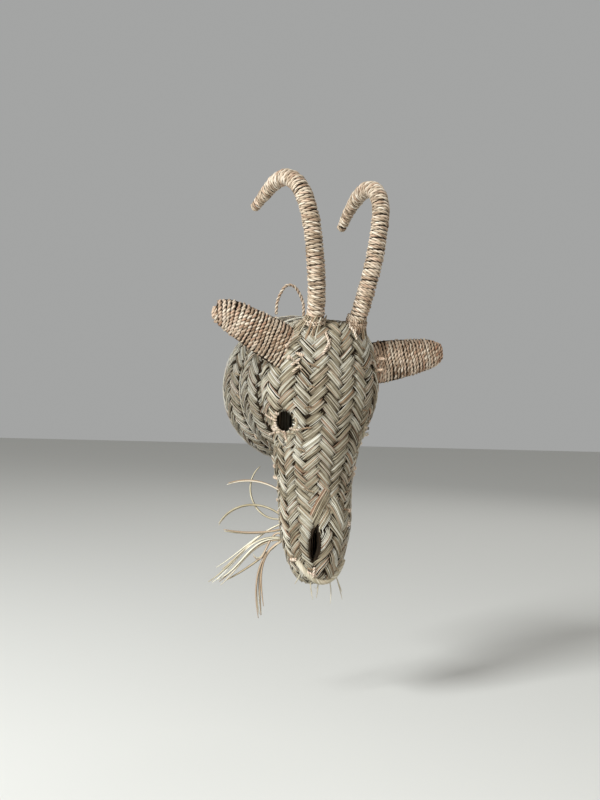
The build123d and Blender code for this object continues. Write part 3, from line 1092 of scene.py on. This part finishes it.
def dress_stitches():
    """The cord of each seam's stitches."""
    for name, (material, tone, radius) in STITCHES.items():
        bundle = Grass()
        for points in islands(name):
            line = middle_line(points, STITCH_POINTS)
            outward = unit(line.mean(0) * (1, 1, 0) - (0, AXIS_Y, 0))
            if name == "collar_seam_stitches":
                outward = unit(line.mean(0) * (1, 0, 1))
            bow = np.sin(np.linspace(0, math.pi, STITCH_POINTS))[:, None]
            sway = np.linspace(-1, 1, STITCH_POINTS)[:, None] * rng.normal(0, 0.0014, 3)
            line = line + outward * (bow * 0.002 + 0.0002) + sway
            for _ in range(2 if material == SEWING else 1):
                shifted = line + rng.normal(0, 0.0006, 3)
                twisted(bundle, shifted, radius, STITCH_LAY, tone=tone, warm=0.25)
        bundle.make(name.replace("stitches", "cord"), material, "sewing_cord", replaces=[name])


def on_head(x, z, proud):
    """Points of the head's front at x and z, standing proud of the skin."""
    half_width = skin.measure(z)[0]
    turn = np.arcsin(np.clip(x / half_width, -0.98, 0.98))
    outward = np.stack([np.sin(turn), -np.cos(turn), 0 * turn], -1)
    return skin.at(z, turn) + outward * np.asarray(proud)[..., None]


# Ends of cord tied over the plait: x and z of both ends
TIES = [
    ((-0.049, 0.030), (-0.042, 0.023)),
    ((-0.048, 0.021), (-0.041, 0.028)),
    ((-0.047, 0.015), (-0.041, 0.021)),
    ((-0.020, 0.034), (-0.012, 0.050)),
    ((-0.016, 0.057), (-0.013, 0.041)),
    ((0.013, 0.066), (0.019, 0.052)),
    ((0.021, 0.066), (0.016, 0.058)),
    ((-0.017, -0.193), (-0.009, -0.197)),
    ((-0.012, -0.188), (-0.011, -0.201)),
]
# Small knots of cord: x and z
KNOTS = [
    (0.052, -0.043), (0.046, -0.058), (0.037, -0.085), (0.039, -0.092),
    (0.027, -0.129), (0.026, -0.143), (-0.030, -0.182),
]


def dress_ties():
    """The ends and knots of cord over the plait."""
    bundle = Grass()
    places = np.linspace(0, 1, 8)
    for (x0, z0), (x1, z1) in TIES:
        proud = 0.0012 + 0.0018 * np.sin(math.pi * places)
        line = on_head(x0 + (x1 - x0) * places, z0 + (z1 - z0) * places, proud)
        twisted(bundle, line, 0.0014, STITCH_LAY, tone=0.7, warm=0.15)
    for x, z in KNOTS:
        for _ in range(3):
            turn = rng.uniform(-0.9, 0.9)
            reach = rng.uniform(0.0022, 0.004) * (2 * places - 1)
            proud = 0.0008 + 0.002 * np.sin(math.pi * places)
            line = on_head(x + reach * math.cos(turn), z + reach * math.sin(turn), proud)
            twisted(bundle, line, 0.0013, STITCH_LAY, tone=0.7, warm=0.2)
    bundle.make("head_ties", SEWING, "sewing_cord")


EYE_FOLDS = [(0.0006, -0.0022), (0.0016, -0.001), (0.0028, -0.0012)]  # how far out, and how high
EYE_BLADES = 20
# Each eye's ties: turn about the eye in degrees, and reach in millimetres
EYE_TIES = {
    "left": [
        (138, 7), (160, 11), (176, 14), (190, 9), (204, 12),
        (222, 8), (240, 6), (258, 9), (276, 5), (318, 6),
    ],
    "right": [(20, 4), (75, 3), (200, 4), (262, 3)],
}


def dress_eyes():
    """Each eye hole's edge: folded blades, and the cord that ties them down."""
    for side in SIDES:
        centre, across, up, outward, sizes, top = eye_frame(side)
        edge, ties = Grass(), Grass()

        def rim_line(turns, grow, height):
            return (
                centre
                + outward * (top + height)[:, None]
                + across * (np.cos(turns) * (sizes[0] + grow))[:, None]
                + up * (np.sin(turns) * (sizes[1] + grow))[:, None]
            )

        def seated(line):
            """A line over the rim, let down on to the plait where that falls away."""
            for i, point in enumerate(line):
                hit = first_hit(skin_tree, point + outward * 0.02, -outward)
                if hit is not None and (point - hit) @ outward < 0.012:
                    line[i] += outward * min((hit - point) @ outward + 0.0018, 0)
            return line

        skin_tree = tree_of(*BANDS)
        round_eye = np.linspace(0, math.tau, 61)
        for grow, height in EYE_FOLDS:
            ragged = grow + 0.0005 * np.sin(round_eye * rng.integers(3, 6) + rng.uniform(0, 6))
            ring = smooth(seated(rim_line(round_eye, ragged, height + 0 * round_eye)), 3)
            twisted(edge, ring, 0.0011, 0.013, 3, 0.5, 0.05)
        places = np.linspace(0, 1, 9)
        blade_turns = np.linspace(0, math.tau, EYE_BLADES, endpoint=False)
        for turn in blade_turns + rng.uniform(-0.15, 0.15, EYE_BLADES):
            turns = turn + rng.uniform(-0.5, 0.5) * places
            grow = -0.0012 + rng.uniform(0.004, 0.008) * places
            line = rim_line(turns, grow, 0.0012 * np.sin(math.pi * places) - 0.0022 * places)
            half = rng.uniform(0.0006, 0.001)
            facing = np.broadcast_to(outward, (1, *line.shape))
            edge.lay(seated(line)[None], facing, half, half * 0.5, rng.normal(0.55, 0.2))
        for degrees, reach in EYE_TIES[side]:
            turns = math.radians(degrees) + rng.normal(0, 0.25) * places
            grow = -0.002 + (reach / 1000 + 0.002) * places
            height = 0.0022 * np.sin(math.pi * places) - 0.003 * places
            line = seated(rim_line(turns, grow, height))
            radius = rng.uniform(FINE, THICK)
            twisted(ties, line, radius, STITCH_LAY, tone=0.68, warm=0.2)
        edge.make(f"eye_binding_{side}", PLAIT, "sewing_cord", replaces=[f"eye_rim_{side}"])
        ties.make(f"eye_ties_{side}", SEWING, "sewing_cord")


def dress_muzzle():
    """The rolled border under the muzzle."""
    roll = Grass()
    places = np.linspace(-1, 1, 40)
    z = skin.low + 0.003 + 0.021 * places**2
    line = on_head(0.026 * places, z, 0.0006 + 0 * places)
    twisted(roll, line, 0.0034, 0.03, strands=7, tone=0.6, warm=0.05)
    roll.make("muzzle_border", PLAIT, "plait")


# ---- loose grass
# Loose blades at the left jaw seam: the points in millimetres that each one passes
BEARD = [
    [(-34, -76, -114), (-55, -66, -104), (-92, -62, -106)],
    [(-34, -76, -139), (-64, -66, -128), (-82, -64, -131), (-105, -62, -149)],
    [(-34, -76, -142), (-60, -66, -131), (-66, -64, -117), (-55, -62, -88)],
    [(-34, -76, -153), (-57, -68, -157), (-74, -64, -157), (-94, -62, -154)],
    [(-34, -76, -147), (-57, -66, -162), (-78, -64, -178), (-100, -62, -193)],
    [(-34, -77, -162), (-66, -66, -172), (-90, -63, -196), (-106, -62, -209)],
    [(-34, -77, -163), (-63, -67, -174), (-86, -64, -197), (-103, -60, -206)],
    [(-34, -77, -164), (-61, -66, -176), (-80, -64, -196), (-95, -62, -212)],
    [(-34, -77, -164), (-52, -68, -183), (-72, -64, -197), (-91, -60, -207)],
    [(-34, -77, -165), (-51, -68, -187), (-55, -64, -210), (-50, -62, -249)],
    [(-34, -77, -165), (-50, -67, -189), (-52, -64, -212), (-48, -60, -246)],
    [(-34, -77, -166), (-49, -68, -186), (-50, -63, -211), (-46, -62, -236)],
    [(-34, -77, -158), (-48, -70, -172), (-56, -68, -183), (-62, -66, -178)],
]


def curve_through(points, count):
    """A smooth curve that passes a few points."""
    points = np.array(points, float)
    run = lengths(points)
    return fitted(run, points, len(points) - 1, np.linspace(0, run[-1], count))


def lay_blade(bundle, line, half, tone, warm):
    """One loose flat blade, which narrows to its tip."""
    count = len(line)
    width = half * (1 - 0.7 * np.linspace(0, 1, count) ** 4)
    facing = unit(np.array((-0.3, -0.9, 0.2)) + rng.normal(0, 0.3, 3))
    facing = np.broadcast_to(facing, (1, count, 3))
    bundle.lay(line[None], facing, width[None], width[None] * 0.4, tone, warm)


def dress_beard():
    """The beard's loose blades and its knot, and the blades under the chin."""
    bundle = Grass()
    for points in BEARD:
        line = curve_through(points, 22) / 1000
        for _ in range(2):
            sway = np.linspace(0, 1, 22)[:, None] ** 2 * rng.normal(0, 0.0022, 3)
            half = rng.uniform(0.0009, 0.0013)
            tone, warm = rng.normal(0.62, 0.14), rng.choice((0, 0, 0.3, 0.9))
            lay_blade(bundle, line + sway, half, tone, warm)
    bundle.make("beard_blades", LOOSE, "loose_grass", replaces=["beard_strands"])
    bundle = Grass()
    for points in islands("chin_whiskers"):
        line = middle_line(points, 14)
        line = line if line[0, 2] > line[-1, 2] else line[::-1]
        for _ in range(2):
            sway = np.linspace(0, 1, 14)[:, None] ** 2 * rng.normal(0, 0.004, 3)
            lay_blade(bundle, line + sway, 0.0006, rng.normal(0.6, 0.15), 0.1)
    bundle.make("chin_blades", LOOSE, "loose_grass", replaces=["chin_whiskers"])
    bundle = Grass()
    low, high = BOX["beard_knot"]
    centre = np.array((low + high) / 2)
    turns = np.linspace(0, math.tau, 24)
    for _ in range(6):
        first, second = np.linalg.qr(rng.normal(size=(3, 2)))[0].T
        ring = centre + 0.0034 * about(turns, first, second)
        twisted(bundle, ring, 0.0013, STITCH_LAY, tone=0.65)
    bundle.make("beard_knot_cord", SEWING, "sewing_cord", replaces=["beard_knot"])


def dress_frame_nodes():
    """The CAD nodes that stay: the shells, and what fills the horns and the ears, in the under
    layers' painted shade.
    """
    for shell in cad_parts.values():
        shell.data.materials.clear()
        shell.data.materials.append(UNDER_SHADE)


# ---- stage
CAMERA_AZIMUTH = math.radians(-25)
CAMERA_DISTANCE = 1.2
CAMERA_ROLL = math.radians(2.5)
LENS = 47
AIM_RIGHT, AIM_UP = 0.015, -0.014  # from the middle of the neck's rim, in the picture's plane


def set_camera():
    """A camera level with the head, to its left and slightly rolled."""
    toward = Vector((math.sin(CAMERA_AZIMUTH), -math.cos(CAMERA_AZIMUTH), 0))
    right = Vector((0, 0, 1)).cross(toward)
    aim = right * AIM_RIGHT + Vector((0, 0, AIM_UP))
    camera = new_object("camera", bpy.data.cameras.new("camera"))
    camera.data.lens = LENS
    camera.location = aim + toward * CAMERA_DISTANCE
    facing = (-toward).to_track_quat("-Z", "Y")
    camera.rotation_mode = "QUATERNION"
    camera.rotation_quaternion = facing @ Quaternion((0, 0, 1), CAMERA_ROLL)
    bpy.context.scene.camera = camera


LIT = Vector((0, -0.05, -0.03))  # what the lights point at
LIGHTS = {  # place, size, power and colour
    "key": ((-1.95, -0.8, 1.15), 0.6, 76, (0.95, 0.985, 1.0)),
    "fill": ((-0.5, -2.2, 0.3), 1.4, 9, (1.0, 0.91, 0.8)),
    "back": ((1.7, 1.3, 1.4), 1.5, 9, (1, 1, 1)),
}
FLOOR_Z, FLOOR_SPAN = -0.35, 6.0
FLOOR_COLOUR, WORLD_COLOUR, WORLD_LIGHT = (214, 213, 208), (214, 215, 214), 0.55


def set_stage():
    """The floor, the world and the lights."""
    mesh = bpy.data.meshes.new("floor")
    corners = [(x * FLOOR_SPAN, y * FLOOR_SPAN, 0) for x, y in ((-1, -1), (1, -1), (1, 1), (-1, 1))]
    mesh.from_pydata(corners, [], [(0, 1, 2, 3)])
    floor = new_object("floor", mesh)
    floor.location.z = FLOOR_Z
    paint, _, shader = new_material("floor")
    shader.inputs["Base Color"].default_value = linear(*FLOOR_COLOUR)
    shader.inputs["Roughness"].default_value = 0.9
    mesh.materials.append(paint)
    world = bpy.data.worlds.new("studio")
    bpy.context.scene.world = world
    world.use_nodes = True
    background = world.node_tree.nodes["Background"].inputs
    background["Color"].default_value = linear(*WORLD_COLOUR)
    background["Strength"].default_value = WORLD_LIGHT
    for name, (place, size, power, colour) in LIGHTS.items():
        lamp = new_object(name, bpy.data.lights.new(name, "AREA"))
        lamp.data.size, lamp.data.energy, lamp.data.color = size, power, colour
        lamp.location = place
        lamp.rotation_euler = (LIT - Vector(place)).to_track_quat("-Z", "Y").to_euler()
    bpy.context.scene.view_settings.view_transform = "Standard"


set_camera()
set_stage()
dress_loop()
dress_head()
dress_collars()
dress_rods()
dress_stitches()
dress_ties()
dress_eyes()
dress_muzzle()
dress_beard()
dress_frame_nodes()
